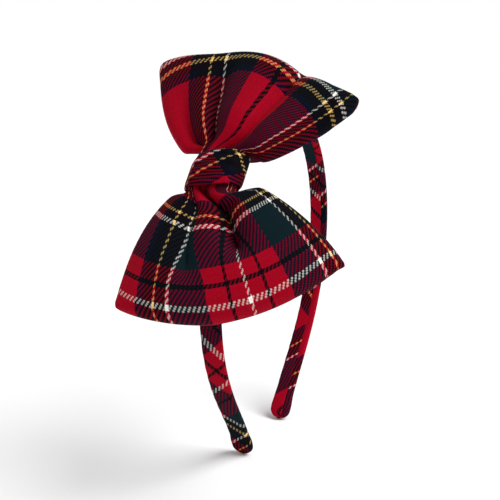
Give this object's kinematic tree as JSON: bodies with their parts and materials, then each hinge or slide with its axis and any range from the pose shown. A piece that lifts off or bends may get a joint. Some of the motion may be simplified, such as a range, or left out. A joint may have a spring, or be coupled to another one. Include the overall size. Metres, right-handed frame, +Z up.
{
  "type": "bow headband",
  "caption": "C-shaped Alice band covered in bias-cut tartan twill, with a large pinched tartan bow tied to one side by a wrapped knot.",
  "frame": {"origin": "middle of the crown's inner face, where the band rests on top of the head", "axes": "+Z up as worn; X from ear to ear, with the bow on the -X side; -Y faces forwards"},
  "size_m": [0.163, 0.0866, 0.1593],
  "materials": {
    "tartan_twill": "matt woven twill in red, dark green, black, white and yellow",
    "core_plastic": "satin natural plastic",
    "stiff_lining": "matt non-woven",
    "red_thread": "fine spun thread",
    "clear_glue": "set hot-melt glue"
  },
  "bodies": {
    "root": {"band_core": "core_plastic", "band_cover": "tartan_twill", "bow_front_panel": "tartan_twill", "bow_back_panel": "tartan_twill", "bow_interlining": "stiff_lining", "gather_thread": "red_thread", "bow_glue_pad": "clear_glue", "knot_wrap": "tartan_twill", "knot_stitches": "red_thread"}
  },
  "joints": []
}
